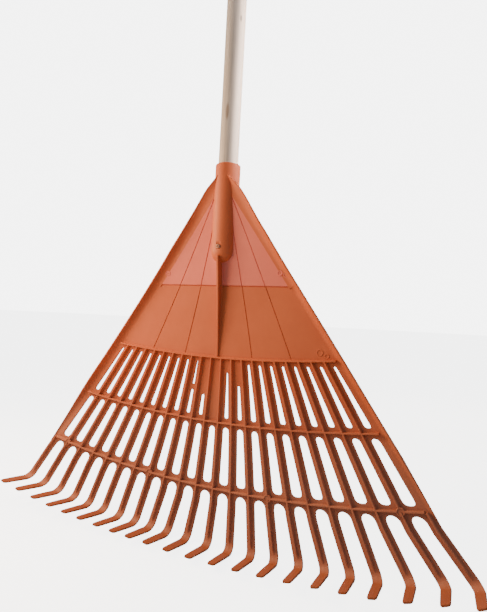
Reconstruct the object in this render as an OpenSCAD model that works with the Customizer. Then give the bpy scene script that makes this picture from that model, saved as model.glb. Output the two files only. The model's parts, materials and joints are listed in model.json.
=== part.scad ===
// Leaf rake: a one-piece moulded fan head with 22 springy tines, screwed to a round wooden handle.
// The origin is the centre of the socket's mouth, on the handle's axis. +Z runs up the handle,
// the fan opens towards -Z, and the hooked tips point to -Y. Sizes are in millimetres.
// The head is curved: its front face lies on a large cylinder whose axis runs along X.
// The fan's rays all start at one point, the apex, just below the socket's mouth.

/* [Handle] */
// Diameter of the wooden handle
handle_d = 24; // [20:0.5:27]
// Diameter of the handle's end inside the socket, turned down so that it leaves a shoulder
handle_end_d = 23.4; // [19.4:0.1:26.4]
// Length of handle that stands out of the socket
handle_out = 1092; // [900:4:1400]
// Depth of the handle's end inside the socket
handle_in = 111; // [100:1:112]
// Chamfer at both ends of the handle
handle_chamfer = 3; // [1:0.5:5]

/* [Socket] */
// Thickness of the socket's wall
socket_wall = 3.3; // [2.5:0.1:3.5]
// Outer length of the socket, mouth to closed end
socket_l = 119; // [117:1:122]
// Radius that rounds the socket's closed end
socket_round = 8; // [4:0.5:10]
// Radial gap between the handle's end and the socket
handle_gap = 0.05; // [0.02:0.01:0.1]
// Depth of the fixing screw below the socket's mouth
screw_depth = 100; // [80:1:101]
// Diameter of the screw's shank
screw_d = 3.2; // [3:0.1:4]
// Diameter of the screw's head
screw_head_d = 5.6; // [5:0.2:8]
// Length of the screw, head included
screw_l = 16; // [12:1:20]

/* [Curve of the head] */
// Radius of the curved front face
bow_r = 1500; // [1400:10:2500]
// Distance of the front face ahead of the handle's axis, where the face is upright
bow_front = 1.1; // [0.5:0.1:3]
// Depth below the socket's mouth at which the face is upright
bow_depth = 186; // [170:1:200]
// Thickness of the sheet
sheet_t = 2.5; // [2:0.1:3]

/* [Fan] */
// Depth of the apex below the socket's mouth
apex_depth = 14; // [10:0.5:20]
// Number of tines
tine_n = 22; // [22:22]
// Angle between neighbouring tines at the middle of the fan
pitch = 3.466; // [3.3:0.002:3.5]
// Angle lost at ten tines from the middle, where the fan closes up
squeeze = 1.524; // [1:0.002:2]
// Radius of the cross bars' curve, seen from the front
bar_r = 1322; // [1200:10:1600]
// Depth of the crease across the upper panel, below the socket's mouth
crease_depth = 145; // [130:1:160]
// Step of the front face at the crease
crease_step = 0.8; // [0.4:0.1:1]

/* [Lattice] */
// Width of a strip between the slots
strip_w = 10; // [8:0.5:11]
// Distance from the apex to the top of the first row of slots
row_1_top = 223; // [220:1:230]
// Distance from the apex to the bottom of the first row of slots
row_1_end = 286.4; // [280:0.2:288]
// Distance from the apex to the top of the second row of slots
row_2_top = 297; // [295:1:300]
// Distance from the apex to the bottom of the second row of slots
row_2_end = 360.3; // [355:0.1:362]
// Distance from the apex to the last edge of the last cross bar
bar_end = 369.6; // [368:0.1:372]
// Thickness of the ribs
rib_t = 2.2; // [1.8:0.1:2.6]
// Height of the ribs above the front face
rib_h = 4.2; // [3:0.1:5]

/* [Tines] */
// Distance from the apex to the line on which the free tines flex
flex_line = 382; // [380:1:390]
// Distance from the apex to the corners of the hooks
tip_line = 428; // [424:1:440]
// Radius of the hook corners' curve across the fan, seen from the front
tip_line_r = 1588; // [1400:1:1700]
// Angle through which the hook turns from the tine
hook_turn = 90; // [88:0.5:100]
// Radius of the hook's bend, at the middle of the sheet
hook_bend = 9; // [6:0.5:12]
// Length of the hook from its corner to its tip
hook_l = 44.4; // [35:0.1:46]
// Height of the ridge along a free tine
ridge_h = 1.6; // [1:0.1:2]

/* [Hidden] */
// Radius of the rounded root on which a tine flexes
root_r = 2.2;
// Gap around the rounded root
root_gap = 0.3;
// Angles of the fine grooves that run down the upper panel
groove_angles = [-23.5, -11.9, 11.9, 23.5];
// Width of a groove
groove_w = 1;
// Depth of a groove below the lower panel's face
groove_depth = 0.5;
// Distance from the apex to the first and last point of a groove
groove_span = [86, 213];
// Places of the round marks that ejector pins left, across and below the mouth
ejector_marks = [[-76, 131], [76, 131], [-124, 221], [124, 221]];
// Radius of an ejector mark
ejector_r = 4;
// Height of the fin under the socket, at its upper end
fin_top = 13.5;
// Height of the fin at the first cross bar
fin_end = 1.2;
// Number of straight pieces in a side lip
lip_pieces = 5;
// Distances from the apex at which a side lip starts and ends
lip_span = [18, 414];
// Thickness of a side lip
lip_t = 2.2;
// Rise of a side lip to the front, where it is tallest
lip_rise_most = 8;
// Reach of a side lip past the outer edge of the outermost strip
lip_over = 0.5;

apex_z = -apex_depth;
bow_y = -bow_front - bow_r;
bow_z = -bow_depth;
bore_r = handle_end_d / 2 + handle_gap;
socket_r = bore_r + socket_wall;
seat_y = -socket_r + 0.4;
hook_tangent = hook_bend * tan(hook_turn / 2);
half_strip = strip_w / 2;

// ---- The fan's geometry ----

// Angle of a ray from the middle of the fan; whole numbers of k are slots, halves are strips
function ray_angle(k) = pitch * k - squeeze * pow(k / 10, 3);

// Angle of the outermost tines' rays
outer_a = ray_angle((tine_n - 1) / 2);

// Place of a tine in the fan, counted from the middle, for tine numbers that start at 1
function tine_k(i) = i - (tine_n + 1) / 2;

// Distance along a ray from the apex to an arc of radius r that crosses the middle at r0
function ray_to_arc(a, r0, r) =
    let (c = r - r0, b = c * cos(a))
    sqrt(b * b - c * c + r * r) - b;

// Y of the front face at a height z
function face_y(z) = bow_y + sqrt(bow_r * bow_r - pow(z - bow_z, 2));

// Angle by which the face leans forward at a height z
function face_lean(z) = asin((bow_z - z) / bow_r);

// Distance from the apex to the flex line and to the hook's corner, along tine i
function flex_r(i) = ray_to_arc(ray_angle(tine_k(i)), flex_line, bar_r);
function corner_r(i) = ray_to_arc(ray_angle(tine_k(i)), tip_line, tip_line_r);

// ---- Shared shapes ----

// A curved sheet that reaches `front` ahead of the front face and `back` behind it
module curved_sheet(front, back) {
    translate([0, bow_y, bow_z])
        rotate([0, 90, 0])
            difference() {
                cylinder(h = 700, r = bow_r + back, center = true, $fn = 360);
                cylinder(h = 702, r = bow_r - front, center = true, $fn = 360);
            }
}

// A flat outline, drawn in X and Z, run right through the head
module through_head() {
    rotate([90, 0, 0])
        linear_extrude(height = 120, center = true)
            children();
}

// A flat outline, cut out of the curved sheet
module on_sheet(front, back) {
    intersection() {
        curved_sheet(front, back);
        through_head() children();
    }
}

// Point at a distance r along the outermost ray on the right, moved sideways by `out`
function outer_point(r, out) = [
    r * sin(outer_a) + out * cos(outer_a),
    apex_z - r * cos(outer_a) + out * sin(outer_a)
];

// Outline of the fan between the two outermost rays, moved outwards by `out`
module wedge(out) {
    far = outer_point(600, out);
    polygon([[0, apex_z + out / sin(outer_a)], [-far[0], far[1]], far]);
}

// Outline of all that lies above an arc across the fan
module above_arc(r0) {
    translate([0, apex_z - r0 + bar_r])
        circle(r = bar_r, $fn = 720);
}

// Outline between two arcs across the fan, from r1 down to r2
module band(r1, r2) {
    difference() {
        above_arc(r2);
        above_arc(r1);
    }
}

// Outline of a straight strip along the ray at angle a, from r1 to r2
module ray_strip(a, r1, r2, w) {
    translate([0, apex_z])
        rotate(a)
            translate([-w / 2, -r2])
                square([w, r2 - r1]);
}

// Outline of strips number first to last, each from the arc r1 to the arc r2
module strips(first, last, r1, r2, w) {
    intersection() {
        band(r1, r2);
        union() {
            for (i = [first:last])
                ray_strip(ray_angle(tine_k(i)), r1 - 5, r2 + 80, w);
        }
    }
}

// The outside of the socket, as a solid
module socket_body(grow = 0) {
    r = socket_r + grow;
    rotate_extrude($fn = 96) {
        translate([0, -socket_l + socket_round - grow])
            square([r, socket_l - socket_round + grow]);
        translate([0, -socket_l - grow])
            square([r - socket_round, socket_round + 1]);
        intersection() {
            translate([r - socket_round, -socket_l + socket_round - grow])
                circle(r = socket_round, $fn = 64);
            translate([0, -socket_l - grow])
                square([r, socket_round + 1]);
        }
    }
}

// Puts its children in the frame of tine i: the origin on its flex axis, X along that axis,
// -Z along the tine and -Y to the front
module at_tine(i) {
    a = ray_angle(tine_k(i));
    z = apex_z - flex_r(i) * cos(a);
    lean = face_lean(z - (corner_r(i) - flex_r(i)) * cos(a) / 2);
    translate([flex_r(i) * sin(a), face_y(z), z])
        rotate([-lean, 0, 0])
            rotate([0, -atan(tan(a) * cos(lean)), 0])
                translate([0, sheet_t / 2, 0])
                    children();
}

// An outline drawn in Y and Z, run across a width w
module across(w) {
    rotate([90, 0, 90])
        linear_extrude(height = w, center = true)
            children();
}

// ---- Handle and socket ----

module handle() {
    r = handle_d / 2;
    end_r = handle_end_d / 2;
    c = handle_chamfer;
    color("tan")
        difference() {
            rotate_extrude($fn = 96)
                polygon([
                    [0, -handle_in], [end_r - c, -handle_in], [end_r, -handle_in + c],
                    [end_r, 0], [r, 0],
                    [r, handle_out - c], [r - c, handle_out], [0, handle_out]
                ]);
            screw_hole();
        }
}

// The hole for the screw's shank
module screw_hole() {
    translate([0, seat_y + screw_l, -screw_depth])
        rotate([90, 0, 0])
            cylinder(h = screw_l + 5, d = screw_d + 0.1, $fn = 48);
}

module handle_screw() {
    head_h = 1.8;
    color("dimgray")
        translate([0, seat_y, -screw_depth])
            rotate([90, 0, 0])
                difference() {
                    union() {
                        translate([0, 0, head_h - screw_l])
                            cylinder(h = screw_l - head_h, d = screw_d, $fn = 48);
                        cylinder(h = head_h, d1 = screw_head_d, d2 = screw_head_d - 1.6, $fn = 48);
                    }
                    for (turn = [0, 90])
                        rotate([0, 0, turn])
                            translate([-1.9, -0.4, head_h - 1])
                                cube([3.8, 0.8, 2]);
                }
}

module socket_tube() {
    rim = 1;
    color("salmon")
        difference() {
            socket_body();
            translate([0, 0, -handle_in - 0.5])
                cylinder(h = handle_in + 1, r = bore_r, $fn = 96);
            translate([0, 0, -rim])
                cylinder(h = rim + 0.01, r1 = bore_r, r2 = bore_r + rim, $fn = 96);
            screw_hole();
            translate([0, seat_y, -screw_depth])
                rotate([90, 0, 0])
                    cylinder(h = 5, d = screw_head_d + 0.2, $fn = 48);
        }
}

// ---- Upper panel ----

// The thin upright fin from the socket's end down to the first cross bar
module spine_fin() {
    top = -socket_l + 9;
    end = apex_z - row_1_top + 8;
    color("salmon")
        difference() {
            across(rib_t + 0.4)
                polygon([
                    [0, top], [face_y(top) - fin_top, top],
                    [face_y(end) - fin_end, end], [0, end]
                ]);
            curved_sheet(0, 30);
            intersection() {
                curved_sheet(crease_step, 30);
                above_crease();
            }
            socket_body();
        }
}

// Everything above the crease
module above_crease() {
    translate([-300, -100, -crease_depth])
        cube([600, 200, 300]);
}

module fan_panel() {
    color("salmon")
        difference() {
            union() {
                on_sheet(0, sheet_t)
                    panel_outline();
                intersection() {
                    on_sheet(crease_step, 1)
                        panel_outline();
                    above_crease();
                }
                on_sheet(rib_h, 1)
                    intersection() {
                        band(row_1_top - 7, row_1_top - 7 + rib_t);
                        wedge(-half_strip);
                    }
            }
            on_sheet(3, groove_depth)
                for (a = groove_angles)
                    ray_strip(a, groove_span[0], groove_span[1] / cos(a), groove_w);
            on_sheet(2, -0.3)
                for (p = ejector_marks)
                    translate([p[0], -p[1]])
                        circle(r = ejector_r, $fn = 48);
            socket_body();
        }
}

// Outline of the panel above the first row of slots
module panel_outline() {
    intersection() {
        wedge(-half_strip);
        above_arc(row_1_top);
    }
}

// ---- Side lips ----

// Rise of a lip's edge at a distance r from the apex: it grows near the socket and dies out
// towards the tines
function lip_rise(r) = lip_rise_most * min(1, r / 90) * min(1, (430 - r) / 120);

// Point where a lip leaves the sheet, at a distance r from the apex
function lip_root(r) =
    let (p = outer_point(r, -half_strip))
    [p[0], face_y(p[1]), p[1]];

function unit(v) = v / norm(v);

// One straight piece of the right lip, from distance r0 to r1
module lip_piece(r0, r1) {
    rm = (r0 + r1) / 2;
    root = lip_root(r0);
    along = lip_root(r1) - root;
    u = unit(along);
    out = strip_w + lip_over;
    v0 = [out * cos(outer_a), -lip_rise(rm), out * sin(outer_a)];
    v = unit(v0 - (v0 * u) * u);
    w = cross(u, v);
    multmatrix([
        [u[0], v[0], w[0], root[0]],
        [u[1], v[1], w[1], root[1]],
        [u[2], v[2], w[2], root[2]],
        [0, 0, 0, 1]
    ])
        translate([-0.8, -3, -lip_t])
            cube([norm(along) + 1.6, norm(v0) + 3, lip_t]);
}

// The right lip: it flares out of the panel's edge, outwards and to the front
module lip() {
    step = (lip_span[1] - lip_span[0]) / lip_pieces;
    difference() {
        union() {
            for (n = [0:lip_pieces - 1])
                lip_piece(lip_span[0] + n * step, lip_span[0] + (n + 1) * step);
        }
        through_head()
            wedge(-half_strip);
        through_head()
            band(row_2_end - 0.05, row_2_end + 60);
        socket_body();
    }
}

module right_lip() {
    color("salmon")
        lip();
}

module left_lip() {
    color("salmon")
        mirror([1, 0, 0])
            lip();
}

// ---- Lattice: two rows of slots between cross bars ----

// A comb of strips above a cross bar, with a rib on each strip and along the bar; the bar
// reaches `out` past the outermost rays
module comb(r_top, r_bar, r_end, out) {
    bar_rib = (r_bar + r_end - rib_t) / 2;
    on_sheet(0, sheet_t) {
        intersection() {
            wedge(-half_strip);
            strips(2, tine_n - 1, r_top, r_bar + 1, strip_w);
        }
        intersection() {
            wedge(out);
            band(r_bar, r_end);
        }
    }
    on_sheet(rib_h, 1) {
        intersection() {
            wedge(-half_strip);
            strips(2, tine_n - 1, r_top, r_end, rib_t);
        }
        intersection() {
            wedge(out);
            band(bar_rib, bar_rib + rib_t);
        }
    }
}

module upper_lattice() {
    color("chocolate") {
        comb(row_1_top, row_1_end, row_2_top, -half_strip);
        on_sheet(0, sheet_t)
            centre_web();
    }
}

// The web that fills the middle slot of the first row and narrows towards its end
module centre_web() {
    intersection() {
        band(row_1_top, row_1_end + 1);
        polygon([
            [0, apex_z], web_point(-1.5, row_1_top - 10), web_point(-0.5, row_1_end + 5),
            web_point(0.5, row_1_end + 5), web_point(2.5, row_1_top - 10)
        ]);
    }
}

// Point on ray k, at a distance r from the apex
function web_point(k, r) = [r * sin(ray_angle(k)), apex_z - r * cos(ray_angle(k))];

// Outline of the root of a tine, from inside the last cross bar to the flex line
module stub(a, end) {
    ray_strip(a, ray_to_arc(a, bar_end - 4, bar_r), end, strip_w);
}

module lower_lattice() {
    color("saddlebrown")
        difference() {
            union() {
                comb(row_2_top, row_2_end, bar_end, half_strip);
                on_sheet(0, sheet_t)
                    for (i = [1:tine_n])
                        stub(ray_angle(tine_k(i)), flex_r(i));
            }
            for (i = [1:tine_n])
                at_tine(i)
                    rotate([0, 90, 0])
                        cylinder(h = strip_w + 6, r = root_r + root_gap, center = true, $fn = 48);
        }
}

// ---- Tines ----

// The bend of the hook, as an outline: a stretch of ring around its centre
module bend_outline(straight) {
    translate([-hook_bend, -straight])
        intersection() {
            difference() {
                circle(r = hook_bend + sheet_t / 2, $fn = 96);
                circle(r = hook_bend - sheet_t / 2, $fn = 96);
            }
            polygon([
                [0, 0], [30, 0], [30 * cos(hook_turn / 2), -30 * sin(hook_turn / 2)],
                [30 * cos(hook_turn), -30 * sin(hook_turn)]
            ]);
        }
}

// The straight end of the hook, thinned towards its tip
module tip_outline(straight) {
    flat = hook_l - hook_tangent;
    translate([-hook_bend, -straight])
        rotate(-hook_turn)
            translate([hook_bend, 0])
                polygon([
                    [-sheet_t / 2, 0.2], [sheet_t / 2, 0.2],
                    [sheet_t / 2 - 0.4, -flat], [-sheet_t / 2 + 0.4, -flat]
                ]);
}

// One springy tine with its hook, in its own place in the fan
module tine(i) {
    straight = corner_r(i) - flex_r(i) - hook_tangent;
    half = sheet_t / 2;
    color("sienna")
        at_tine(i) {
            across(strip_w) {
                circle(r = root_r, $fn = 48);
                translate([-half, -straight])
                    square([sheet_t, straight]);
                bend_outline(straight);
                tip_outline(straight);
            }
            across(rib_t)
                polygon([
                    [-half + 0.5, -4], [-half, -4], [-half - ridge_h, -8],
                    [-half - ridge_h, -straight + 6], [-half, -straight + 1],
                    [-half + 0.5, -straight + 1]
                ]);
        }
}

handle();
handle_screw();
socket_tube();
spine_fin();
fan_panel();
left_lip();
right_lip();
upper_lattice();
lower_lattice();
tine(1);  // tine_01
tine(2);  // tine_02
tine(3);  // tine_03
tine(4);  // tine_04
tine(5);  // tine_05
tine(6);  // tine_06
tine(7);  // tine_07
tine(8);  // tine_08
tine(9);  // tine_09
tine(10);  // tine_10
tine(11);  // tine_11
tine(12);  // tine_12
tine(13);  // tine_13
tine(14);  // tine_14
tine(15);  // tine_15
tine(16);  // tine_16
tine(17);  // tine_17
tine(18);  // tine_18
tine(19);  // tine_19
tine(20);  // tine_20
tine(21);  // tine_21
tine(22);  // tine_22
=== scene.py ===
import json
import math

import bmesh
import bpy
from mathutils import Matrix, Vector


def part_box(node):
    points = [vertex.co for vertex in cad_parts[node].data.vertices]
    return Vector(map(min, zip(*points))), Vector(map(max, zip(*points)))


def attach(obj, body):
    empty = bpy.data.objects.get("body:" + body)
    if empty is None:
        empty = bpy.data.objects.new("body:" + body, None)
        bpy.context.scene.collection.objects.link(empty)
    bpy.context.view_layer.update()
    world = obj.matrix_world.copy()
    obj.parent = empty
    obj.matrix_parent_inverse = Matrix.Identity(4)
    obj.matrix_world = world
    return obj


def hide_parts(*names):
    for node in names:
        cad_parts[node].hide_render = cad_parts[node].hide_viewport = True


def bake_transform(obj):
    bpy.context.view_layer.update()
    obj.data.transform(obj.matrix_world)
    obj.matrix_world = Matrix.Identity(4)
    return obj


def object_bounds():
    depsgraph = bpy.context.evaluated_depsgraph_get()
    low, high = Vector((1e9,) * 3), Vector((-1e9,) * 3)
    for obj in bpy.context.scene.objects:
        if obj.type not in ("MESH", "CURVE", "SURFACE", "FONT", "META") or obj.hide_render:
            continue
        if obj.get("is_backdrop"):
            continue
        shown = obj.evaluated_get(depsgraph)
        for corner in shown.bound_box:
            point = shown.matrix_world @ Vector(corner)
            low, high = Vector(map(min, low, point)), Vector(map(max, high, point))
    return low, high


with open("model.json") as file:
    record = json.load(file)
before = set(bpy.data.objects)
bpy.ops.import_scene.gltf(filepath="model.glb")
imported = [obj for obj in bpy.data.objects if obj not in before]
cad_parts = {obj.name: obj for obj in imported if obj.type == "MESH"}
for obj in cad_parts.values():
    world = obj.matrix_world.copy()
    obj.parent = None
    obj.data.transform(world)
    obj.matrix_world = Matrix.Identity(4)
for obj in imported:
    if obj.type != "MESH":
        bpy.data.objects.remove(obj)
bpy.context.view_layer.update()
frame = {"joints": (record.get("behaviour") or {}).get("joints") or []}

# ---------------------------------------------------------------- driving dimensions
# Lengths are in millimetres while shapes are worked out, and MM turns them into metres.
MM = 0.001
# Neighbouring pieces reach this far past one another, so no gap shows between them.
OVERLAP = 0.03

# The head's curve: its front face is part of a large cylinder whose axis runs along X.
BOW_R = 1500.0
BOW_Y = -1.1 - BOW_R
BOW_Z = -186.0
SHEET_T = 2.5

# The fan: rays from an apex below the socket's mouth, and cross bars on shallow arcs.
APEX_Z = -14.0
TINES = 22
PITCH = 3.466
SQUEEZE = 1.524
BAR_R = 1322.0
HALF_STRIP = 5.0
PANEL_END = 216.5
ROW_1 = (223.0, 286.4)
ROW_1_HALF_STRIP = 5.5
WEB_HALF_STRIP = 6.1
ROW_2 = (297.0, 360.3)
ROW_2_HALF_STRIP = 5.2
BAR_END = 369.6
SIDE_INSET = 3

# The upper panel: it stands PLATEAU proud above its crease, and it has fine grooves.
CREASE_Z = -145.0
CREASE_HALF = 0.45
CREASE_DEPTH = 0.8
PLATEAU = 0.8
GROOVE_HALF = 0.6
GROOVE_DEPTH = 0.9

# Ribs along the strips and the bars.
RIB_H = 4.2
BAR_RIBS = (217.0, 291.7, 365.0)
PADS = (2, 8, 15, 21)
PAD_R = 4.2
PAD_REACH = PAD_R - 0.6

# The fin's height, where it leaves the socket and where it ends.
FIN_TOP_H = 13.6
FIN_END_H = 1.6

# Tines and hooks.
FLEX_LINE = 382.0
TINE_START = 366.0
STUB_END = 376.5
TIP_LINE = 428.0
TIP_LINE_R = 1588.0
HOOK_TURN = math.radians(90)
HOOK_BEND = 9.0
HOOK_L = 44.4

# Handle, socket and screw, from the frame.
handle_low, handle_high = (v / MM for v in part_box("handle"))
HANDLE_R = (handle_high.x - handle_low.x) / 2
socket_low, socket_high = (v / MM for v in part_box("socket_tube"))
SOCKET_R = (socket_high.x - socket_low.x) / 2
SOCKET_END = socket_low.z
screw_low, screw_high = (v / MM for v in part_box("handle_screw"))
SCREW_Z = (screw_low.z + screw_high.z) / 2
SCREW_R = (screw_high.x - screw_low.x) / 2
SEAT_DEPTH = 0.4
SEAT_Y = SEAT_DEPTH - SOCKET_R
SCREW_PLACE = Matrix.Translation((0, SEAT_Y, SCREW_Z)) @ Matrix.Rotation(math.pi / 2, 4, "X")


# ---------------------------------------------------------------- the fan's geometry
def ray_angle(k):
    """Angle of a ray; whole numbers of k are slots and halves are strips."""
    return math.radians(PITCH * k - SQUEEZE * (k / 10) ** 3)


def strip_angle(i):
    """Angle of strip i's ray, for strips numbered from 1 at the left."""
    return ray_angle(i - (TINES + 1) / 2)


OUTER = strip_angle(TINES)


def arc_distance(a, off, r0, r=BAR_R):
    """Distance along a line beside the ray at angle a, off to its right, to the arc that
    crosses the fan's middle at r0."""
    c = r - r0
    b = c * math.cos(a)
    return math.sqrt(b * b - off * off - c * c + 2 * c * off * math.sin(a) + r * r) - b


def on_ray(a, dist, off):
    """(x, z) of a point at a distance along a ray, moved off to its right."""
    return (
        dist * math.sin(a) + off * math.cos(a),
        APEX_Z - dist * math.cos(a) + off * math.sin(a),
    )


def bar_z(r0, x):
    """Height of the point at x on the arc that crosses the fan's middle at r0."""
    return APEX_Z - r0 + BAR_R - math.sqrt(BAR_R**2 - x * x)


def face_normal(z):
    """Direction to the front, square to the curved face at height z."""
    s = (z - BOW_Z) / BOW_R
    return Vector((0, -math.sqrt(1 - s * s), -s))


def on_face(x, z, front=0.0):
    """Point of the curved face at (x, z), moved to the front."""
    s = (z - BOW_Z) / BOW_R
    r = BOW_R - front
    return Vector((x, BOW_Y + r * math.sqrt(1 - s * s), BOW_Z + r * s))


def ease(t):
    """Smooth step from 0 to 1."""
    t = min(1.0, max(0.0, t))
    return t * t * (3 - 2 * t)


def follow(points, x):
    """Value at x of a smooth run through (x, value) points."""
    if x <= points[0][0]:
        return points[0][1]
    for (x0, v0), (x1, v1) in zip(points, points[1:]):
        if x <= x1:
            return v0 + (v1 - v0) * ease((x - x0) / (x1 - x0))
    return points[-1][1]


def spread(a, b, n):
    """n + 1 numbers from a to b."""
    return [a + (b - a) * i / n for i in range(n + 1)]


# ---------------------------------------------------------------- mesh helpers
def make_object(name, bm, sharp=35):
    """A smooth-shaded object of a bmesh in millimetres, sharp where faces meet steeply."""
    bmesh.ops.recalc_face_normals(bm, faces=bm.faces)
    for v in bm.verts:
        v.co *= MM
    mesh = bpy.data.meshes.new(name)
    bm.to_mesh(mesh)
    bm.free()
    mesh.shade_smooth()
    mesh.set_sharp_from_angle(angle=math.radians(sharp))
    obj = bpy.data.objects.new(name, mesh)
    bpy.context.scene.collection.objects.link(obj)
    return obj


def add_sweep(bm, points, normals, sections):
    """A closed solid along points; each section lists (side, front) pairs, counted from the
    point, with front along the normal and side square to it and to the path."""
    rings = []
    last = len(points) - 1
    for i, (p, n, section) in enumerate(zip(points, normals, sections)):
        along = (points[min(i + 1, last)] - points[max(i - 1, 0)]).normalized()
        side = n.cross(along).normalized()
        front = along.cross(side)
        rings.append([bm.verts.new(p + side * o + front * d) for o, d in section])
    for lower, upper in zip(rings, rings[1:]):
        for j in range(len(lower)):
            k = (j + 1) % len(lower)
            bm.faces.new((lower[j], lower[k], upper[k], upper[j]))
    bm.faces.new(rings[0])
    bm.faces.new(rings[-1][::-1])


def add_lathe(bm, profile, sides, place=Matrix.Identity(4)):
    """A solid turned about Z from (radius, height) points; a radius of 0 closes an end."""
    rings = []
    for r, z in profile:
        if r < 1e-6:
            rings.append([bm.verts.new(place @ Vector((0, 0, z)))])
        else:
            turns = (2 * math.pi * s / sides for s in range(sides))
            spots = (Vector((r * math.cos(t), r * math.sin(t), z)) for t in turns)
            rings.append([bm.verts.new(place @ v) for v in spots])
    for a, b in zip(rings, rings[1:]):
        for s in range(sides):
            t = (s + 1) % sides
            if len(a) == 1:
                bm.faces.new((a[0], b[s], b[t]))
            elif len(b) == 1:
                bm.faces.new((a[s], a[t], b[0]))
            else:
                bm.faces.new((a[s], a[t], b[t], b[s]))


def fillet(r, z, radius, start, end, steps):
    """Points of an arc about (r, z), from angle start to end in degrees, for a lathe."""
    turns = (math.radians(t) for t in spread(start, end, steps))
    return [(r + radius * math.cos(t), z + radius * math.sin(t)) for t in turns]


def place_on_face(x, z, lift=0.0):
    """Turns a lathed solid's axis to the front and puts its foot on the curved face."""
    turn = face_normal(z).to_track_quat("Z", "X").to_matrix().to_4x4()
    return Matrix.Translation(on_face(x, z, lift)) @ turn


def cut_away(obj, tool, use_self=False):
    """Takes a tool's shape out of an object and removes the tool."""
    mod = obj.modifiers.new("cut", "BOOLEAN")
    mod.object, mod.operation, mod.solver = tool, "DIFFERENCE", "EXACT"
    mod.use_self = use_self
    graph = bpy.context.evaluated_depsgraph_get()
    mesh = bpy.data.meshes.new_from_object(obj.evaluated_get(graph))
    obj.modifiers.clear()
    obj.data = mesh
    bpy.data.objects.remove(tool)


def weigh_normals(obj):
    """Keeps broad faces flat-looking beside their small chamfers."""
    mod = obj.modifiers.new("weighted", "WEIGHTED_NORMAL")
    mod.keep_sharp = True
    mod.weight = 80
    return obj


# ---------------------------------------------------------------- materials
def new_material(name):
    """A material with its node tree and its shader."""
    mat = bpy.data.materials.new(name)
    mat.use_nodes = True
    tree = mat.node_tree
    shader = tree.nodes["Principled BSDF"]
    return mat, tree, shader


def add_node(tree, kind, inputs=(), **settings):
    """A node with its settings; inputs maps a socket to a value or to an output to link."""
    node = tree.nodes.new(kind)
    for key, value in settings.items():
        setattr(node, key, value)
    for key, value in dict(inputs).items():
        if isinstance(value, bpy.types.NodeSocket):
            tree.links.new(value, node.inputs[key])
        else:
            node.inputs[key].default_value = value
    return node


def place_of(tree):
    """Object coordinates, in metres."""
    return add_node(tree, "ShaderNodeTexCoord").outputs["Object"]


def scaled(tree, vector, scale):
    """A vector with each part multiplied."""
    node = add_node(tree, "ShaderNodeMapping", {"Vector": vector, "Scale": scale})
    return node.outputs["Vector"]


def noise_of(tree, vector, scale, detail=3.0, rough=0.5):
    """Soft noise around 0.5."""
    inputs = {"Vector": vector, "Scale": scale, "Detail": detail, "Roughness": rough}
    return add_node(tree, "ShaderNodeTexNoise", inputs).outputs["Fac"]


def remap(tree, value, a, b, c=0.0, d=1.0, smooth=False):
    """A value moved from the range a to b into c to d, and held inside it."""
    inputs = {"Value": value, "From Min": a, "From Max": b, "To Min": c, "To Max": d}
    kind = "SMOOTHSTEP" if smooth else "LINEAR"
    node = add_node(tree, "ShaderNodeMapRange", inputs, interpolation_type=kind)
    return node.outputs["Result"]


def blend_colours(tree, factor, one, two, mode="MIX"):
    """A mix of two colours; sockets 0, 6 and 7 of the node are its factor and colours."""
    inputs = {0: factor, 6: one, 7: two}
    node = add_node(tree, "ShaderNodeMix", inputs, data_type="RGBA", blend_type=mode)
    return node.outputs[2]


def compute(tree, operation, a, b=0.0):
    """One step of arithmetic."""
    node = add_node(tree, "ShaderNodeMath", {0: a, 1: b}, operation=operation)
    return node.outputs["Value"]


def add_bump(tree, shader, height, strength, distance):
    """Relief on a shader's surface."""
    inputs = {"Strength": strength, "Distance": distance, "Height": height}
    bump = add_node(tree, "ShaderNodeBump", inputs)
    tree.links.new(bump.outputs["Normal"], shader.inputs["Normal"])


# The plastic's colours, and the heights (z) and depth (y) where they change, in metres.
PLAIN = (0.50, 0.112, 0.041, 1)
# The next colour is painted shade: darker and browner, laid on towards the tips.
PAINTED_SHADE = (0.40, 0.128, 0.068, 1)
RUBBED = (0.31, 0.074, 0.024, 1)
# Painted sheen: the pinker colour laid on the panel above the crease.
PAINTED_SHEEN = (0.66, 0.156, 0.108, 1)
BLOTCHED = (0.86, 0.80, 0.78, 1)
SOILED = (0.13, 0.045, 0.022, 1)
PAINTED_SHADE_Z = (-0.235, -0.37)
RUBBED_Y = (-0.020, -0.032)
PAINTED_SHEEN_Z = (-0.1462, -0.1440)


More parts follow.
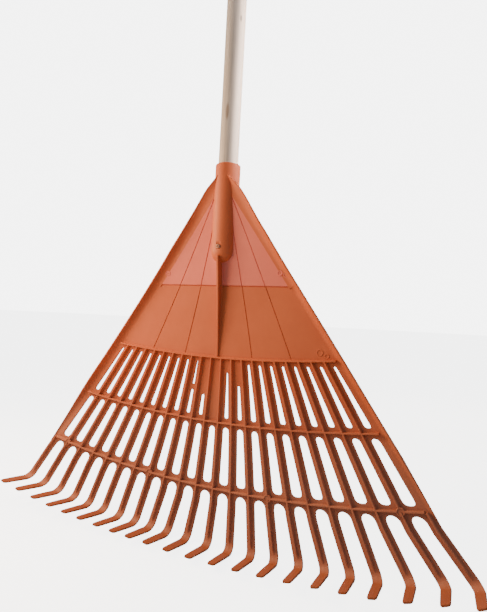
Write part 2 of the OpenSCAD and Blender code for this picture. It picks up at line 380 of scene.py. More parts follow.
def plastic(name, painted_sheen):
    """Terracotta plastic, darker and browner towards the tips from painted shade, with soil
    specks there, rubbed clean on the hooks, with a fine moulded grain and small scratches.
    The other one is pinker above the crease, a painted sheen."""
    mat, tree, shader = new_material(name)
    place = place_of(tree)
    parts = add_node(tree, "ShaderNodeSeparateXYZ", {0: place}).outputs
    height = parts["Z"]
    wander = noise_of(tree, place, 22.0, 4.0)
    drift = compute(tree, "MULTIPLY", compute(tree, "SUBTRACT", wander, 0.5), 0.05)
    level = compute(tree, "ADD", height, drift)
    # Painted shade: the plastic turns darker and browner towards the tips.
    painted_shade = remap(tree, level, *PAINTED_SHADE_Z, smooth=True)
    colour = blend_colours(tree, painted_shade, PLAIN, PAINTED_SHADE)
    rubbed = remap(tree, parts["Y"], *RUBBED_Y, smooth=True)
    colour = blend_colours(tree, rubbed, colour, RUBBED)
    # A painted sheen: the panel is pinker above the crease.
    if painted_sheen:
        colour = blend_colours(tree, remap(tree, height, *PAINTED_SHEEN_Z), colour, PAINTED_SHEEN)
    blotch = remap(tree, noise_of(tree, place, 9.0, 5.0, 0.6), 0.35, 0.7)
    colour = blend_colours(tree, blotch, colour, BLOTCHED, "MULTIPLY")
    grime = remap(tree, noise_of(tree, place, 130.0, 6.0, 0.62), 0.56, 0.74)
    # The soil specks grow denser along the painted shade's gradient.
    soil = compute(tree, "MULTIPLY", grime, compute(tree, "MULTIPLY", painted_shade, 0.35))
    colour = blend_colours(tree, soil, colour, SOILED)
    tree.links.new(colour, shader.inputs["Base Color"])
    streak = noise_of(tree, scaled(tree, place, (900, 900, 30)), 1.0, 3.0)
    gloss = remap(tree, wander, 0.3, 0.7, 0.48, 0.62)
    gloss = compute(tree, "ADD", gloss, remap(tree, streak, 0.4, 0.8, 0.0, 0.10))
    tree.links.new(gloss, shader.inputs["Roughness"])
    grain = noise_of(tree, place, 1500.0, 2.0)
    scratch = remap(tree, streak, 0.62, 0.80, 0.0, 0.6)
    add_bump(tree, shader, compute(tree, "SUBTRACT", grain, scratch), 0.12, 0.0004)
    shader.inputs["Specular IOR Level"].default_value = 0.18
    return mat


# The wood's colours: the dark and light of its grain, a painted highlight on one side, and its
# knots.
GRAIN_DARK = (0.33, 0.265, 0.220, 1)
GRAIN_LIGHT = (0.52, 0.43, 0.365, 1)
PAINTED_HIGHLIGHT = (0.80, 0.66, 0.55, 1)
KNOT = (0.13, 0.075, 0.045, 1)

# Its knots: centre (x, y, z), then half width and half height, in metres.
KNOTS = (
    (0.0010, -0.0119, 0.062, 0.0032, 0.013),
    (0.0100, -0.0062, 0.176, 0.0016, 0.0045),
    (-0.0080, -0.0088, 0.431, 0.0030, 0.010),
    (-0.0040, 0.0112, 0.700, 0.0034, 0.012),
    (0.0118, 0.0010, 0.935, 0.0024, 0.008),
)


def wood():
    """Pale, weathered turned wood with long grain and knots, and a painted highlight on one
    side.
    """
    mat, tree, shader = new_material("weathered_wood")
    place = place_of(tree)
    parts = add_node(tree, "ShaderNodeSeparateXYZ", {0: place}).outputs
    warp = noise_of(tree, scaled(tree, place, (60, 60, 5)), 1.0, 2.0)
    bend = compute(tree, "MULTIPLY", compute(tree, "SUBTRACT", warp, 0.5), 0.006)
    across = compute(tree, "ADD", parts["X"], bend)
    inputs = {"X": across, "Y": parts["Y"], "Z": parts["Z"]}
    bent = add_node(tree, "ShaderNodeCombineXYZ", inputs).outputs[0]
    grain = noise_of(tree, scaled(tree, bent, (420, 420, 9)), 1.0, 6.0, 0.65)
    colour = blend_colours(tree, remap(tree, grain, 0.32, 0.68), GRAIN_DARK, GRAIN_LIGHT)
    # Painted highlight: lighter along the side that faces right and a little to the back.
    sideways = compute(tree, "MULTIPLY", across, 0.93)
    facing = compute(tree, "ADD", sideways, compute(tree, "MULTIPLY", parts["Y"], 0.30))
    painted_highlight = remap(tree, facing, 0.0025, 0.0085, smooth=True)
    colour = blend_colours(tree, painted_highlight, colour, PAINTED_HIGHLIGHT)
    for x, y, z, wide, tall in KNOTS:
        inputs = {0: place, 1: (x, y, z)}
        shift = add_node(tree, "ShaderNodeVectorMath", inputs, operation="SUBTRACT")
        reach = scaled(tree, shift.outputs["Vector"], (1 / wide, 1 / wide, 1 / tall))
        far = add_node(tree, "ShaderNodeVectorMath", {0: reach}, operation="LENGTH")
        rough = compute(tree, "MULTIPLY", compute(tree, "SUBTRACT", grain, 0.5), 0.9)
        edge = compute(tree, "ADD", far.outputs["Value"], rough)
        knot = compute(tree, "MULTIPLY", remap(tree, edge, 1.0, 0.45, smooth=True), 0.6)
        colour = blend_colours(tree, knot, colour, KNOT)
    tree.links.new(colour, shader.inputs["Base Color"])
    tree.links.new(remap(tree, grain, 0.3, 0.7, 0.66, 0.48), shader.inputs["Roughness"])
    add_bump(tree, shader, grain, 0.35, 0.0005)
    shader.inputs["Specular IOR Level"].default_value = 0.35
    return mat


def steel():
    """Dull, slightly rusted steel."""
    mat, tree, shader = new_material("dull_steel")
    place = place_of(tree)
    rust = remap(tree, noise_of(tree, place, 700.0, 4.0, 0.6), 0.34, 0.55)
    colour = blend_colours(tree, rust, (0.42, 0.24, 0.17, 1), (0.36, 0.14, 0.075, 1))
    tree.links.new(colour, shader.inputs["Base Color"])
    tree.links.new(remap(tree, rust, 0, 1, 0.35, 0.8), shader.inputs["Roughness"])
    add_bump(tree, shader, rust, 0.3, 0.0002)
    shader.inputs["Metallic"].default_value = 0.25
    return mat


# How bright the floor and the studio look to the camera itself.
FLOOR_GLOW = 4.6
STUDIO_GLOW = 6.0


def pale_floor():
    """Pale grey that looks nearly white to the camera but throws back little light."""
    mat, tree, shader = new_material("pale_floor")
    shade = remap(tree, noise_of(tree, place_of(tree), 3.0, 2.0), 0.3, 0.7)
    colour = blend_colours(tree, shade, (0.58, 0.58, 0.58, 1), (0.62, 0.62, 0.62, 1))
    tree.links.new(colour, shader.inputs["Base Color"])
    shader.inputs["Roughness"].default_value = 0.9
    shader.inputs["Specular IOR Level"].default_value = 0.1
    seen = add_node(tree, "ShaderNodeLightPath").outputs["Is Camera Ray"]
    shader.inputs["Emission Color"].default_value = (1, 1, 1, 1)
    glow = compute(tree, "MULTIPLY", seen, FLOOR_GLOW)
    tree.links.new(glow, shader.inputs["Emission Strength"])
    return mat


# ---------------------------------------------------------------- handle and screw
def build_handle():
    """The turned pole: slightly uneven, with rounded ends."""
    bm = bmesh.new()
    low, high = handle_low.z, handle_high.z
    foot_r, top_r, even_below, uneven = 2, 6, 4, 0.006
    profile = [(0, low), *fillet(HANDLE_R - foot_r, low + foot_r, foot_r, -90, 0, 4)]
    profile += [(HANDLE_R, z) for z in spread(low + 3 * foot_r, high - 2 * top_r, 60)]
    profile += [*fillet(HANDLE_R - top_r, high - top_r, top_r, 0, 90, 8), (0, high)]
    add_lathe(bm, profile, 72)
    for v in bm.verts:
        turn = math.atan2(v.co.y, v.co.x)
        wave = math.sin(2 * turn + v.co.z / 71) + 0.6 * math.sin(3 * turn - v.co.z / 43)
        if v.co.z > even_below:
            v.co.xy *= 1 - uneven * (1 + wave / 1.6)
    return make_object("handle", bm, 50)


def build_screw():
    """A pan-head screw with a cross recess, seated in the socket's front."""
    bm = bmesh.new()
    head_h, length = SEAT_Y - screw_low.y, screw_high.y - SEAT_Y
    shank_r, point_r, point_l, round_r = 1.4, 0.5, 3, 1.2
    profile = [(0, -length), (point_r, -length), (shank_r, -length + point_l), (shank_r, 0)]
    profile += [(SCREW_R, 0), (SCREW_R, 0.5)]
    profile += fillet(SCREW_R - round_r, head_h - round_r, round_r, 10, 80, 5)
    add_lathe(bm, [*profile, (0, head_h)], 48, SCREW_PLACE)
    obj = make_object("handle_screw", bm, 40)
    cutter = bmesh.new()
    half_w, half_l = 0.4, 1.7
    for x, y in ((half_l, half_w), (half_w, half_l)):
        for v in bmesh.ops.create_cube(cutter, size=2)["verts"]:
            v.co = SCREW_PLACE @ Vector((v.co.x * x, v.co.y * y, head_h + v.co.z))
    cut_away(obj, make_object("recess_cutter", cutter), use_self=True)
    return obj


# ---------------------------------------------------------------- the moulded head
def build_socket():
    """The tube that takes the handle: rounded rim, open bore, rounded closed end."""
    bm = bmesh.new()
    bore, foot, r = HANDLE_R + 0.05, handle_low.z - 0.5, SOCKET_R
    rim_r, round_h = 1.0, 15
    profile = [(0, foot), (bore, foot), (bore, -1.2)]
    profile += [(bore + 0.5, -0.3), (bore + 0.9, 0.0)]
    profile += fillet(r - rim_r, -rim_r, rim_r, 80, 0, 5)
    profile += [(r, z) for z in spread(-6, SOCKET_END + 18, 12)]
    for turn in spread(0, math.pi / 2, 14):
        profile.append((r * math.cos(turn), SOCKET_END + round_h * (1 - math.sin(turn))))
    add_lathe(bm, profile, 96)
    obj = make_object("socket_tube", bm, 40)
    cutter = bmesh.new()
    seat_r, seat_h = SCREW_R + 0.12, 6
    add_lathe(cutter, [(0, 0), (seat_r, 0), (seat_r, seat_h), (0, seat_h)], 40, SCREW_PLACE)
    cut_away(obj, make_object("seat_cutter", cutter))
    return obj


def rib_section(height, thick=1.0):
    """A thin rib's outline: a small fillet at its foot, and a rounded top."""
    right = [
        (2.1, -0.4),
        (1.5, 0.12),
        (1.15, 0.55),
        (1.0 * thick, height - 0.5),
        (0.65 * thick, height),
    ]
    return right + [(-o, d) for o, d in reversed(right)]


def build_fin():
    """The upright fin under the socket, lower towards the first bar."""
    bm = bmesh.new()
    levels = spread(SOCKET_END + 9, APEX_Z - PANEL_END - 2, 16)
    heights = spread(FIN_TOP_H, FIN_END_H, 16)
    points = [on_face(0, z) for z in levels]
    normals = [face_normal(z) for z in levels]
    add_sweep(bm, points, normals, [rib_section(h, 1.45) for h in heights])
    return make_object("spine_fin", bm)


# The upper panel's fine grooves, as the slope of x over depth below the apex.
GROOVES = (-0.4355, -0.21, 0.21, 0.4355)


def panel_lines(depth):
    """The x of each column of the panel at a depth below the apex, and the groove's share
    of its depth there."""
    edge = (depth - SIDE_INSET / math.sin(OUTER)) * math.tan(OUTER)
    keys = [-edge, *(g * depth for g in GROOVES), edge]
    columns = []
    for n, (a, b) in enumerate(zip(keys, keys[1:])):
        a = a + GROOVE_HALF if n > 0 else a
        b = b - GROOVE_HALF if n < len(GROOVES) else b
        columns += [(x, 0.0) for x in spread(a, b, 8)]
        if n < len(GROOVES):
            columns.append((keys[n + 1], 1.0))
    return columns


def plateau_height(z):
    """How far the sheet stands ahead of the curved face, above and below the crease."""
    return PLATEAU * ease((z - CREASE_Z + CREASE_HALF) / (2 * CREASE_HALF))


def panel_height(x, z, groove):
    """How far the panel's front stands ahead of the curved face."""
    swell_top, swell_l, swell_w, swell_h = SOCKET_END + 16, 44, 19, 2.6
    down = (swell_top - z) / swell_l
    share = abs(x) / max(swell_w * (1 - 0.8 * down), 1)
    swell = swell_h * ease(1 - share) * ease(1 - down) if 0 < down < 1 else 0
    crease = CREASE_DEPTH * ease(1 - abs(z - CREASE_Z + CREASE_HALF) / CREASE_HALF)
    return plateau_height(z) + swell - max(GROOVE_DEPTH * groove, crease)


def build_panel():
    """The flat upper web, with its grooves, its crease and the swell below the socket.
    Its rows of points are level down to the crease, then they turn into the first bar."""
    bm = bmesh.new()
    crease = -CREASE_Z + APEX_Z
    level_rows = spread(18, crease - 1.0, 30)
    level_rows += [crease + s for s in (-CREASE_HALF, 0.0, CREASE_HALF, 1.2)]
    start, curved_rows = level_rows[-1], 20
    fronts, backs = [], []
    for row in range(len(level_rows) + curved_rows):
        front, back = [], []
        for c in range(len(panel_lines(start))):
            if row < len(level_rows):
                depth = level_rows[row]
            else:
                goal = 200.0
                for _ in range(4):
                    x = panel_lines(goal)[c][0]
                    goal = math.sqrt(BAR_R**2 - x * x) - (BAR_R - PANEL_END)
                share = (row - len(level_rows) + 1) / curved_rows
                depth = start + (goal - start) * share
            x, groove = panel_lines(depth)[c]
            z = APEX_Z - depth
            front.append(bm.verts.new(on_face(x, z, panel_height(x, z, groove))))
            back.append(bm.verts.new(on_face(x, z, -SHEET_T)))
        fronts.append(front)
        backs.append(back)
    rows, columns = len(fronts), len(fronts[0])
    for r in range(rows - 1):
        for c in range(columns - 1):
            for g, flip in ((fronts, 1), (backs, -1)):
                quad = (g[r][c], g[r][c + 1], g[r + 1][c + 1], g[r + 1][c])
                bm.faces.new(quad[::flip])
    rim = [(0, c) for c in range(columns)] + [(r, columns - 1) for r in range(1, rows)]
    rim += [(rows - 1, c) for c in range(columns - 2, -1, -1)]
    rim += [(r, 0) for r in range(rows - 2, 0, -1)]
    for (r0, c0), (r1, c1) in zip(rim, rim[1:] + rim[:1]):
        bm.faces.new((fronts[r0][c0], backs[r0][c0], backs[r1][c1], fronts[r1][c1]))
    return make_object("fan_panel", bm, 25)


def slot_outline(j, top, end, half=HALF_STRIP, steps=10):
    """Outline of the slot between strips j and j + 1, from the arc at top to the one at
    end, round at its top and squarer below. Half is half the width of the strips."""
    left, right = strip_angle(j), strip_angle(j + 1)

    def edge(side, r0):
        a, off = (left, half) if side < 0 else (right, -half)
        return Vector(on_ray(a, arc_distance(a, off, r0), off))

    def across(t, r0):
        return edge(-1, r0).lerp(edge(1, r0), (1 + t) / 2)

    half_top = (edge(1, top) - edge(-1, top)).length / 2
    half_end = (edge(1, end) - edge(-1, end)).length / 2
    turns = spread(-math.pi / 2, math.pi / 2, steps)
    points = [across(math.sin(t), top + half_top * (1 - math.cos(t))) for t in turns]
    for t in reversed(turns):
        bulge = math.copysign(abs(math.sin(t)) ** 0.75, t)
        rise = half_end * (1 - abs(math.cos(t)) ** 0.75)
        points.append(across(bulge, end - rise))
    return points


def row_1_slots():
    """Slots of the first row, some of them partly closed around the web in the middle."""
    top, end = ROW_1
    closed = {
        9: [(top, 251.5), (258.0, end)],
        10: [(262.0, end)],
        11: [],
        12: [(234.0, end)],
        13: [(248.0, end)],
    }
    for j in range(1, TINES):
        half = WEB_HALF_STRIP if j in closed else ROW_1_HALF_STRIP
        for a, b in closed.get(j, [(top, end)]):
            yield slot_outline(j, a, b, half)


def stub_corner(a, off):
    """(x, z) of a point on the line where the stubs end, beside the ray at angle a."""
    return on_ray(a, STUB_END / FLEX_LINE * arc_distance(a, 0, FLEX_LINE), off)


def lattice_outline():
    """Outer outline of the lattice: the lower edge with a notch between every two stubs,
    and the first bar's arc. Its sides lie under the lips, inset from the outermost rays."""
    inset, steps = SIDE_INSET, 10
    lower = [stub_corner(-OUTER, inset)]
    for j in range(1, TINES):
        lower.append(stub_corner(strip_angle(j), HALF_STRIP))
        lower += slot_outline(j, BAR_END, STUB_END + 40, steps=steps)[: steps + 1]
        lower.append(stub_corner(strip_angle(j + 1), -HALF_STRIP))
    lower.append(stub_corner(OUTER, -inset))
    side_x = on_ray(OUTER, arc_distance(OUTER, -inset, PANEL_END), -inset)[0]
    across = (side_x * share for share in spread(1, -1, 24))
    return [*lower, *((x, bar_z(PANEL_END, x)) for x in across)]


def build_lattice():
    """Strips, slots and bars, cut from one sheet with softly broken edges, then bowed
    along level cuts."""
    chamfer, cut_top, cut_pitch, cuts = 0.35, APEX_Z - 130, 11, 23
    curve = bpy.data.curves.new("lattice_outline", "CURVE")
    curve.dimensions, curve.fill_mode = "2D", "BOTH"
    curve.extrude = SHEET_T / 2 - chamfer
    curve.bevel_depth, curve.bevel_resolution, curve.offset = chamfer, 1, -chamfer
    outlines = [lattice_outline(), *row_1_slots()]
    outlines += [slot_outline(j, *ROW_2, ROW_2_HALF_STRIP) for j in range(1, TINES)]
    for points in outlines:
        spline = curve.splines.new("POLY")
        spline.points.add(len(points) - 1)
        for point, p in zip(spline.points, points):
            point.co = (p[0], p[1], 0, 1)
        spline.use_cyclic_u = True
    flat = bpy.data.objects.new("lattice_outline", curve)
    bpy.context.scene.collection.objects.link(flat)
    bpy.context.view_layer.update()
    graph = bpy.context.evaluated_depsgraph_get()
    bm = bmesh.new()
    bm.from_mesh(flat.evaluated_get(graph).to_mesh())
    bpy.data.objects.remove(flat)
    bmesh.ops.remove_doubles(bm, verts=bm.verts, dist=0.002)
    for n in range(1, cuts + 1):
        level = Vector((0, cut_top - cut_pitch * n, 0))
        everything = [*bm.verts, *bm.edges, *bm.faces]
        bmesh.ops.bisect_plane(bm, geom=everything, plane_co=level, plane_no=(0, 1, 0))
    for v in bm.verts:
        v.co = on_face(v.co.x, v.co.y, v.co.z - SHEET_T / 2)
    return make_object("lattice", bm)


def stretches(start, end, breaks, reach):
    """The parts of a run from start to end that stay clear of the breaks."""
    at = start
    for b in breaks:
        yield at, b - reach
        at = b + reach
    yield at, end


def build_ribs():
    """Ribs on strips 2 to 21 and along the three bars, broken at the ejector pads."""
    bm = bmesh.new()
    strip_step, bar_step, shortest = 12, 8, 1.0

    def add_rib(spots):
        normals = [face_normal(z) for x, z in spots]
        sections = [rib_section(RIB_H, 0.9)] * len(spots)
        add_sweep(bm, [on_face(x, z) for x, z in spots], normals, sections)

    last_bar = BAR_RIBS[-1]
    pads = {i: arc_distance(strip_angle(i), 0, last_bar) for i in PADS}
    for i in range(2, TINES):
        a = strip_angle(i)
        first, last = (arc_distance(a, 0, r) for r in (BAR_RIBS[0], TINE_START + 1))
        for lo, hi in stretches(first, last, [pads[i]] if i in pads else [], PAD_REACH):
            if hi - lo >= shortest:
                steps = max(2, int((hi - lo) / strip_step))
                add_rib([on_ray(a, d, 0) for d in spread(lo, hi, steps)])
    for r0 in BAR_RIBS:
        at_pads = pads.items() if r0 == last_bar else ()
        breaks = [d * math.sin(strip_angle(i)) for i, d in at_pads]
        half = arc_distance(OUTER, 0, r0) * math.sin(OUTER) - 2.0
        for lo, hi in stretches(-half, half, breaks, PAD_REACH):
            steps = max(2, int((hi - lo) / bar_step))
            add_rib([(x, bar_z(r0, x)) for x in spread(lo, hi, steps)])
    for i, d in pads.items():
        wall = [(0, -0.5), (PAD_R, -0.5), (PAD_R, RIB_H - 0.6), (PAD_R - 0.4, RIB_H - 0.2)]
        dish = [(PAD_R - 0.9, RIB_H - 0.2), (PAD_R - 1.1, RIB_H - 1.0), (0, RIB_H - 1.0)]
        add_lathe(bm, wall + dish, 32, place_on_face(*on_ray(strip_angle(i), d, 0)))
    return make_object("lattice_ribs", bm)


# A side lip by distance from the apex: its rise to the front, its reach past the outermost
# ray, and the place where it folds out of the sheet.
LIP_RISE = ((4, 3.4), (35, 3.6), (80, 6.6), (115, 8.0), (310, 7.6), (430, 0.0))
LIP_REACH = ((2, 5.0), (30, 8.8), (80, 6.8), (150, 5.6), (430, 5.2))
LIP_FOLD = ((180, -3.0), (400, 1.6))
LIP_CURVE = 2.3
LIP_THICK = 2.2


def lip_face(dist, share):
    """How far a lip's inner face stands out, and in front, at a share of its width."""
    fold, reach = follow(LIP_FOLD, dist), follow(LIP_REACH, dist)
    return fold + (reach - fold) * share, follow(LIP_RISE, dist) * share**LIP_CURVE


def lip_section(dist, lift):
    """Outline of a side lip at a distance from the apex, (outwards, front), from its root
    on the outermost strip over its inner face and edge to its outer face and back."""
    inner, outer = [], []
    behind, root_o = -SHEET_T - OVERLAP, -4.9
    for share in (0.06, 0.25, 0.45, 0.65, 0.84, 0.97):
        o, d = lip_face(dist, share)
        o1, d1 = lip_face(dist, share + 0.02)
        slope = math.atan2(d1 - d, o1 - o)
        inner.append((o, d + lift * (1 - share)))
        d -= LIP_THICK * math.cos(slope)
        outer.append((o + LIP_THICK * math.sin(slope), max(d, behind)))
    (o, d), (p, e) = inner[-1], outer[-1]
    edge = [(o + 0.45 * (p - o) + 0.25, d + 0.45 * (e - d) + 0.3)]
    fold = follow(LIP_FOLD, dist)
    root = [(root_o, OVERLAP + lift), (fold - 0.4, OVERLAP + lift)]
    back = [(fold - 0.6, behind), (root_o, behind)]
    return [*root, *inner, *edge, *reversed(outer[1:]), *back]


def build_lip(name, side):
    """A side lip: the sheet's edge folds out and to the front, from the socket down."""
    bm = bmesh.new()
    end = STUB_END * (arc_distance(OUTER, 0, FLEX_LINE) / FLEX_LINE)
    crease = (APEX_Z - CREASE_Z) / math.cos(OUTER)
    stops = [4, 8, 12, 18, 24, 30, *spread(40, STUB_END, 34)[:-1], end]
    stops = sorted([*stops, crease - 0.6, crease, crease + 0.6])
    spots = [on_ray(OUTER, d, 0) for d in stops]
    points = [on_face(x, z) for x, z in spots]
    normals = [face_normal(z) for x, z in spots]
    sections = [lip_section(d, plateau_height(z)) for d, (x, z) in zip(stops, spots)]
    add_sweep(bm, points, normals, sections)
    if side < 0:
        bmesh.ops.scale(bm, vec=(-1, 1, 1), verts=bm.verts)
    return make_object(name, bm, 30)


# Marks that ejector pins left on the panel: (x, z, radius).
MARKS = (
    (-76, -131, 3.2),
    (74.5, -130, 3.0),
    (81.5, -132, 2.6),
    (124, -216, 3.4),
    (132, -219, 2.4),
)


def build_marks():
    """Faint raised rings."""
    bm = bmesh.new()
    for x, z, r in MARKS:
        place = place_on_face(x, z, PLATEAU if z > CREASE_Z else 0.0)
        profile = [(0, -0.3), (r + 0.4, -0.3), (r + 0.3, 0.40), (r - 0.3, 0.55)]
        add_lathe(bm, [*profile, (r - 0.85, 0.06), (0, 0.0)], 28, place)
    return make_object("panel_marks", bm)


# ---------------------------------------------------------------- tines
# How far use has bent the tines' ends sideways: a slow wave across the fan, given here at
# some of the tines' numbers and followed between them.
SIDEWAYS = ((1, 2.4), (4, 5.0), (7, 1.5), (10, -5.4), (14, 0), (17, 2.6), (19, 0.5), (21, 6.5))


def tine_path(i):
    """Middle line of tine i, from the last bar to the hook's tip: each stop has a point,
    the direction to the front, the distance along, and how far into the hook it is."""
    joint = frame["joints"][i - 1]
    origin = Vector(joint["pos_m"]) / MM
    axis = Vector(joint["axis"]).normalized()
    back = Vector((0, axis.z, -axis.y)).normalized()
    if back.y < 0:
        back = -back
    down = back.cross(axis).normalized()
    a = strip_angle(i)
    flex = arc_distance(a, 0, FLEX_LINE)
    scale = flex / FLEX_LINE
    corner = arc_distance(a, 0, TIP_LINE, TIP_LINE_R)
    straight = corner - flex - HOOK_BEND * math.tan(HOOK_TURN / 2)
    lean = follow(SIDEWAYS, i) / (corner - flex)
    down = (down + lean * axis).normalized()
    stops = []
    for d in spread(TINE_START * scale, STUB_END * scale, 3):
        x, z = on_ray(a, d, 0)
        n = face_normal(z)
        stops.append((on_face(x, z) - n * (SHEET_T / 2), n, d, 0.0))
    for d in spread(0.0, straight, 14):
        stops.append((origin + down * d, -back, flex + d, 0.0))
    centre = origin + down * straight - back * HOOK_BEND
    bend_l = HOOK_BEND * HOOK_TURN
    for t in spread(0, HOOK_TURN, 12)[1:]:
        n = -back * math.cos(t) - down * math.sin(t)
        p = centre - n * HOOK_BEND
        on = down * math.cos(t) - back * math.sin(t)
        n = Matrix.Rotation(-a / 2 * ease(t / HOOK_TURN), 3, on) @ n
        stops.append((p, n, flex + straight + t * HOOK_BEND, t / HOOK_TURN))
    flat = HOOK_L - HOOK_BEND * math.tan(HOOK_TURN / 2)
    end = stops[-1][0]
    for d in [*spread(0, flat - 3, 6)[1:], flat - 1.6, flat - 0.6, flat]:
        stops.append((end + on * d, n, flex + straight + bend_l + d, 1 + d / flat))
    return stops, flex, straight


# A tine's rib, as a share of its full height by the share of the way to the hook, and the
# place in the hook where the tip's rounding starts.
RIB_FADE = ((0, 1.0), (0.25, 0.92), (0.8, 0.62), (1.02, 0.02))
TIP_ROUND = 1.9


def tine_section(i, dist, hook, flex, straight):
    """Outline of a tine: a chamfered strip with a rib that dies out at the hook."""
    down = (dist - flex) / straight
    w = HALF_STRIP + OVERLAP
    w *= 1 - 0.04 * ease(down) - 0.08 * max(0.0, hook - 1)
    if hook > TIP_ROUND:
        w -= 1.4 * ((hook - TIP_ROUND) / (2 - TIP_ROUND)) ** 2
    t = SHEET_T / 2 + OVERLAP
    if hook > 1:
        t *= 1 - 0.30 * (hook - 1) ** 2
    c, least = 0.35, 0.03
    h = max(RIB_H * follow(RIB_FADE, down), least)
    foot = min(1.0, h / 1.5)
    rib = [(1.7, t), (1.2, t + 0.35 * foot), (0.95, t + max(h - 0.5, 0.5 * h)), (0.6, t + h)]
    right = [(w - c, -t), (w, -t + c), (w, t - c), (w - c, t), *rib]
    left = [(-o, d) for o, d in reversed(right)]
    section = right + left
    if i in (1, TINES):
        side = -1 if i == 1 else 1
        fold, reach = follow(LIP_FOLD, dist), follow(LIP_REACH, dist)
        rise = follow(LIP_RISE, dist) if hook <= 0 else 0.0
        section = [
            (o, d + rise * max(0.0, (o * side - fold) / (reach - fold)) ** LIP_CURVE)
            for o, d in section
        ]
    return section


def build_tine(i):
    """A tine, swept from the last bar to its hook's tip."""
    bm = bmesh.new()
    stops, flex, straight = tine_path(i)
    sections = [tine_section(i, d, hook, flex, straight) for p, n, d, hook in stops]
    add_sweep(bm, [s[0] for s in stops], [s[1] for s in stops], sections)
    obj = make_object(f"tine_{i:02d}_spring", bm, 32)
    a = strip_angle(i)
    scale = flex / FLEX_LINE
    start, end = (on_face(*on_ray(a, d, 0)) * MM for d in ((STUB_END + 0.5) * scale, flex + 6))
    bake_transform(obj)
    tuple(start)
    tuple(end)
    return obj


# ---------------------------------------------------------------- assembly
terracotta = plastic("terracotta_plastic", False)
# The same plastic with a painted sheen above the crease.
painted_sheen = plastic("painted_sheen_plastic", True)
timber = wood()
metal = steel()

handle = build_handle()
screw = build_screw()
socket = build_socket()
fin = build_fin()
panel = build_panel()
lattice = weigh_normals(build_lattice())
ribs = build_ribs()
left_lip = build_lip("left_lip_edge", -1)
right_lip = build_lip("right_lip_edge", 1)
marks = build_marks()

for piece, mat, slot, nodes in (
    (handle, timber, "wood", ["handle"]),
    (screw, metal, "steel", ["handle_screw"]),
    (socket, terracotta, "panel_plastic", ["socket_tube"]),
    (fin, terracotta, "panel_plastic", ["spine_fin"]),
    (panel, painted_sheen, "panel_plastic", ["fan_panel"]),
    (lattice, terracotta, "tine_plastic", ["upper_lattice", "lower_lattice"]),
    (ribs, terracotta, "tine_plastic", []),
    (left_lip, terracotta, "panel_plastic", ["left_lip"]),
    (right_lip, terracotta, "panel_plastic", ["right_lip"]),
    (marks, painted_sheen, "panel_plastic", []),
):
    piece.data.materials.clear()
    piece.data.materials.append(mat)
    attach(piece, "head")
    if nodes:
        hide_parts(*nodes)

for i in range(1, TINES + 1):
    tine = build_tine(i)
    tine.data.materials.append(terracotta)
    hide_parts(f"tine_{i:02d}")


# ---------------------------------------------------------------- stage, light and camera
def build_floor(level):
    """A wide flat floor at a height, so wide that its edge is never seen."""
    bm = bmesh.new()
    half_width = 40000
    bmesh.ops.create_grid(bm, x_segments=8, y_segments=8, size=half_width)
    for v in bm.verts:
        v.co.z = level
    floor = make_object("floor", bm)
    floor.data.materials.append(pale_floor())
    floor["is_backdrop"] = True


def add_light(name, kind, place, target, power, **settings):
    """A lamp at a place, turned to its target and unseen by the camera."""
    light = bpy.data.lights.new(name, kind)
    light.energy = power
    for key, value in settings.items():
        setattr(light, key, value)
    obj = bpy.data.objects.new(name, light)
    obj.visible_camera = False
    obj.location = place
    obj.rotation_mode = "QUATERNION"
    obj.rotation_quaternion = (Vector(target) - Vector(place)).to_track_quat("-Z", "Y")
    bpy.context.scene.collection.objects.link(obj)


def build_world(light):
    """An even studio that gives a little cool light and looks nearly white."""
    world = bpy.data.worlds.new("studio")
    world.use_nodes = True
    tree = world.node_tree
    plain = tree.nodes["Background"]
    plain.inputs["Color"].default_value = (0.72, 1.0, 1.25, 1)
    plain.inputs["Strength"].default_value = light
    inputs = {"Color": (1, 1, 1, 1), "Strength": STUDIO_GLOW}
    bright = add_node(tree, "ShaderNodeBackground", inputs)
    seen = add_node(tree, "ShaderNodeLightPath").outputs["Is Camera Ray"]
    inputs = {0: seen, 1: plain.outputs[0], 2: bright.outputs[0]}
    mixed = add_node(tree, "ShaderNodeMixShader", inputs)
    tree.links.new(mixed.outputs[0], tree.nodes["World Output"].inputs["Surface"])
    bpy.context.scene.world = world


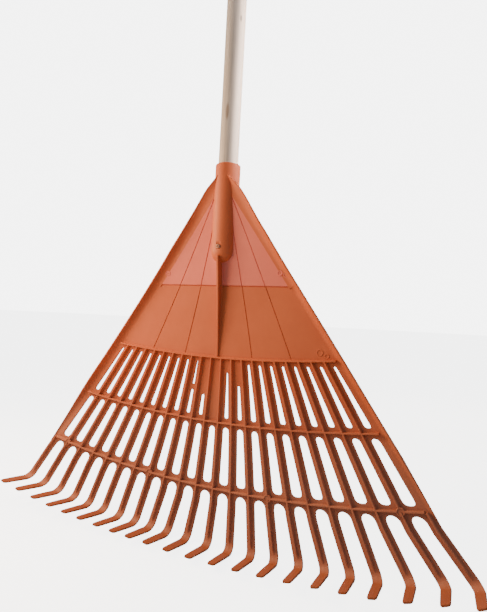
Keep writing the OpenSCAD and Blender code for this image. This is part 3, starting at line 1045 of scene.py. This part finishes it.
build_floor(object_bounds()[0].z / MM - 0.5)
build_world(0.42)

# The camera stands to the right of the head and level with it, and is turned a little.
CAMERA_PLACE = Vector((0.255909, -0.488297, -0.184512))
CAMERA_RIGHT = Vector((0.90695, 0.41802, 0.05197)).normalized()
CAMERA_AHEAD = Vector((-0.41981, 0.90712, 0.02986)).normalized()
FOCAL_IN_HEIGHTS = 0.751634
SENSOR = 36.0

camera_up = CAMERA_RIGHT.cross(CAMERA_AHEAD).normalized()
camera = bpy.data.objects.new("camera", bpy.data.cameras.new("camera"))
camera.data.sensor_width = SENSOR
camera.data.lens = SENSOR * FOCAL_IN_HEIGHTS
camera.data.clip_start = 0.01
turn = Matrix((CAMERA_RIGHT, camera_up, -CAMERA_AHEAD)).transposed()
camera.matrix_world = Matrix.Translation(CAMERA_PLACE) @ turn.to_4x4()
bpy.context.scene.collection.objects.link(camera)
bpy.context.scene.camera = camera

# Two warm lights on the left, a near key and a larger one further off, light from overhead
# and from behind, a narrow rim light for the handle's right side, and three narrow ones
# around the handle's upper end.
WARM = (1.0, 0.71, 0.42)
PALE = (1.0, 0.84, 0.74)
add_light("key", "AREA", (-0.27, -0.22, -0.05), (0, 0, -0.17), 2.4, size=0.26, color=WARM)
add_light("side", "AREA", (-0.75, -0.18, 0.10), (0, 0, -0.22), 8.4, size=0.35, color=WARM)
soft = math.radians(40)
add_light("overhead", "SUN", (-0.15, 0.25, 1.0), (0, 0, 0), 0.9, angle=soft, color=WARM)
rim = {"size": 0.25, "spread": math.radians(40), "color": PALE}
add_light("rim", "AREA", (0.72, 0.22, 0.42), (0, 0, 0.09), 1.7, **rim)
add_light("back", "AREA", (0.45, 1.15, 0.30), (0, 0, -0.20), 5.0, size=0.6, color=WARM)
narrow = {"size": 0.5, "spread": math.radians(26)}
for x, y, power in ((-1.6, -1.2, 4.5), (1.5, -1.3, 2.5), (0.2, 2.0, 2.5)):
    add_light("upper", "AREA", (x, y, 0.95), (0, 0, 0.76), power, **narrow)
